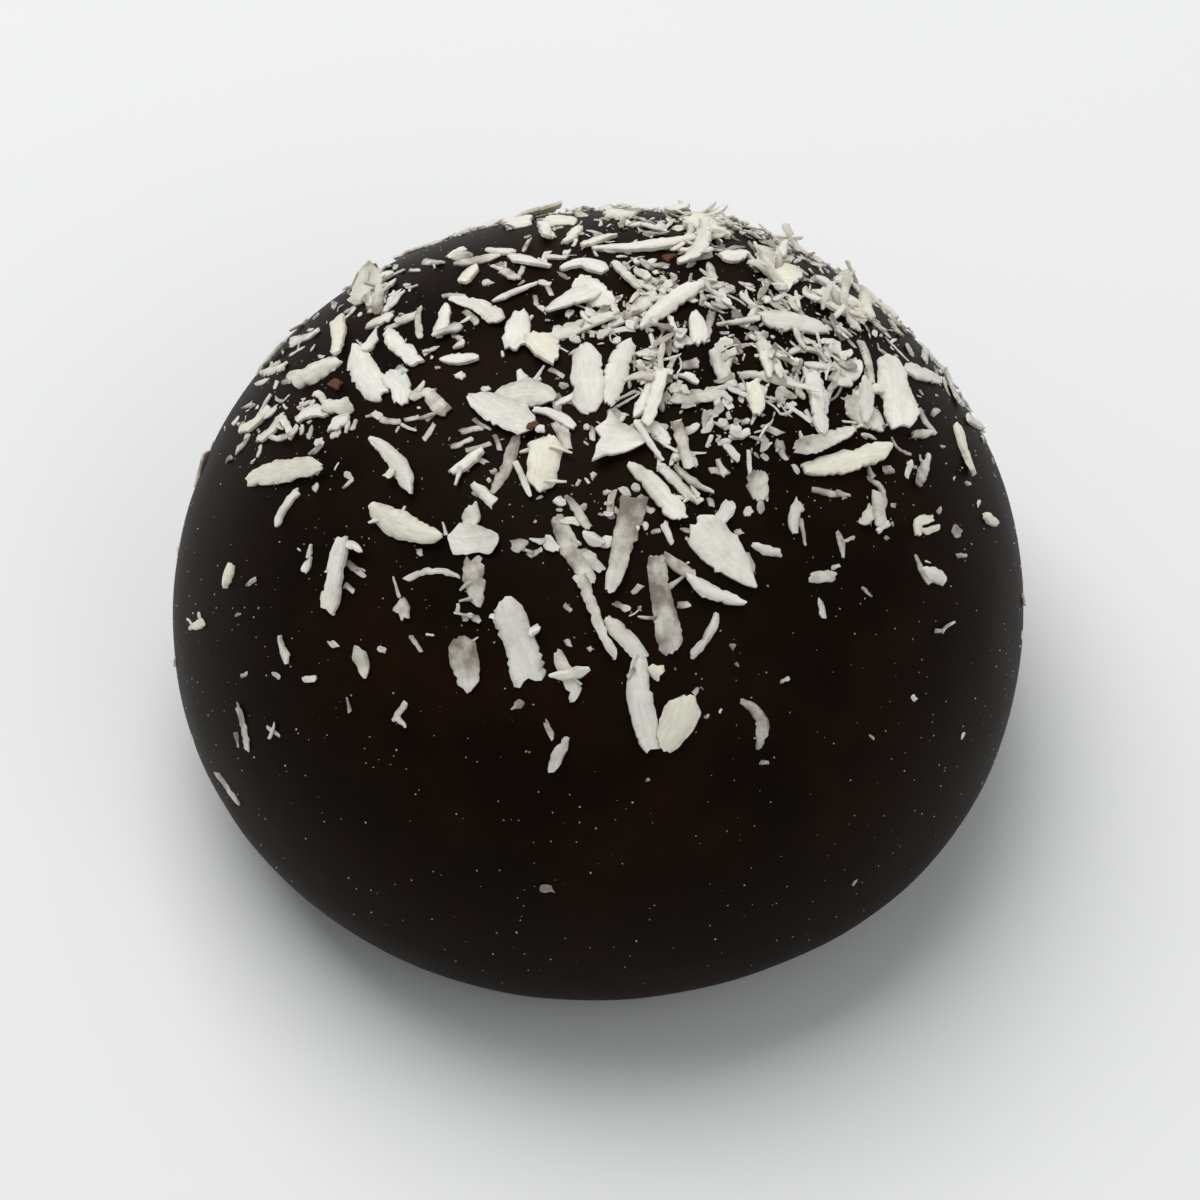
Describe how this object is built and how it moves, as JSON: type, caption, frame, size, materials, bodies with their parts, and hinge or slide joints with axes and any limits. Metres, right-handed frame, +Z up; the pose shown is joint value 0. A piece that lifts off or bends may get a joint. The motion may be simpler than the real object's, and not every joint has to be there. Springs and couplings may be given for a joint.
{
  "type": "chocolate-coated mochi",
  "caption": "Soft round mochi dome in a dark chocolate coat, strewn with white coconut flakes over its crown and shoulders, resting on a flat base.",
  "frame": {"origin": "middle of the flat spot that the mochi rests on", "axes": "+Z up through the crown, -Y towards the front"},
  "size_m": [0.0569, 0.0557, 0.0372],
  "materials": {
    "dark_chocolate": "very dark brown chocolate coat, satin, with faint mottling and gentle hand-made swells",
    "coconut": "matte off-white dried coconut, fibrous, cream where thick and greyish where thin, with a few brown skin specks"
  },
  "bodies": {
    "root": {"chocolate_mochi": "dark_chocolate"}
  },
  "joints": []
}
